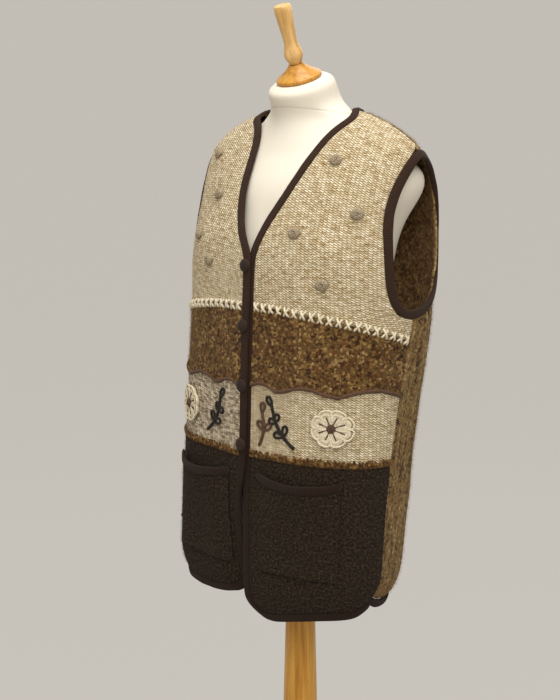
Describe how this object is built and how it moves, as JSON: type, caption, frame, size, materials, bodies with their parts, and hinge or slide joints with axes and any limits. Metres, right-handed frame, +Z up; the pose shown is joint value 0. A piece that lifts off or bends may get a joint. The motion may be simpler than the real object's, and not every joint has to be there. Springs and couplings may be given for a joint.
{
  "type": "knitted vest on a limbless dress form",
  "caption": "Long sleeveless knitted vest with a V neck, patch pockets and bound edges, buttoned on a limbless dress form with a turned wooden stand",
  "frame": {"origin": "the centre of the base's flat underside", "axes": "+Z up; the wearer faces -Y; the wearer's left is +X"},
  "size_m": [0.4171, 0.4, 1.5566],
  "materials": {
    "cream_wool": "knitted cream and oatmeal wool, matte",
    "brown_tweed": "looped brown tweed with ochre and olive specks, matte",
    "oatmeal_wool": "knitted oatmeal wool, matte",
    "marled_grey_wool": "knitted marled grey wool, matte",
    "charcoal_brown_wool": "fulled dark brown wool, matte",
    "dark_brown_rib": "ribbed dark brown trim, matte",
    "grey_beige_yarn": "worked yarn, matte",
    "ecru_crochet": "crocheted ecru cotton, matte",
    "dark_brown_button": "covered in dark brown cloth",
    "off_white_jersey": "stretched cover, matte",
    "varnished_beech": "clear satin varnish"
  },
  "bodies": {
    "root": {"armhole_binding_left": "dark_brown_rib", "armhole_binding_right": "dark_brown_rib", "back": "brown_tweed", "base": "varnished_beech", "bobble_left_armhole": "grey_beige_yarn", "bobble_left_chest": "grey_beige_yarn", "bobble_left_low": "grey_beige_yarn", "bobble_left_shoulder": "grey_beige_yarn", "bobble_right_armhole": "grey_beige_yarn", "bobble_right_chest": "grey_beige_yarn", "bobble_right_low": "grey_beige_yarn", "bobble_right_shoulder": "grey_beige_yarn", "button_1": "dark_brown_button", "button_2": "dark_brown_button", "button_3": "dark_brown_button", "button_4": "dark_brown_button", "cream_panel_left": "oatmeal_wool", "edge_binding_left": "dark_brown_rib", "edge_binding_right": "dark_brown_rib", "finial": "varnished_beech", "form_torso": "off_white_jersey", "hem_binding_back": "dark_brown_rib", "marled_panel_right": "marled_grey_wool", "neck_binding_back": "dark_brown_rib", "neck_cap": "varnished_beech", "pocket_left": "charcoal_brown_wool", "pocket_right": "charcoal_brown_wool", "pocket_trim_left": "dark_brown_rib", "pocket_trim_right": "dark_brown_rib", "pole": "varnished_beech", "rosette_left": "ecru_crochet", "rosette_right": "ecru_crochet", "skirt_left": "charcoal_brown_wool", "skirt_right": "charcoal_brown_wool", "tweed_band_left": "brown_tweed", "tweed_band_right": "brown_tweed", "yoke_left": "cream_wool", "yoke_right": "cream_wool"}
  },
  "joints": []
}
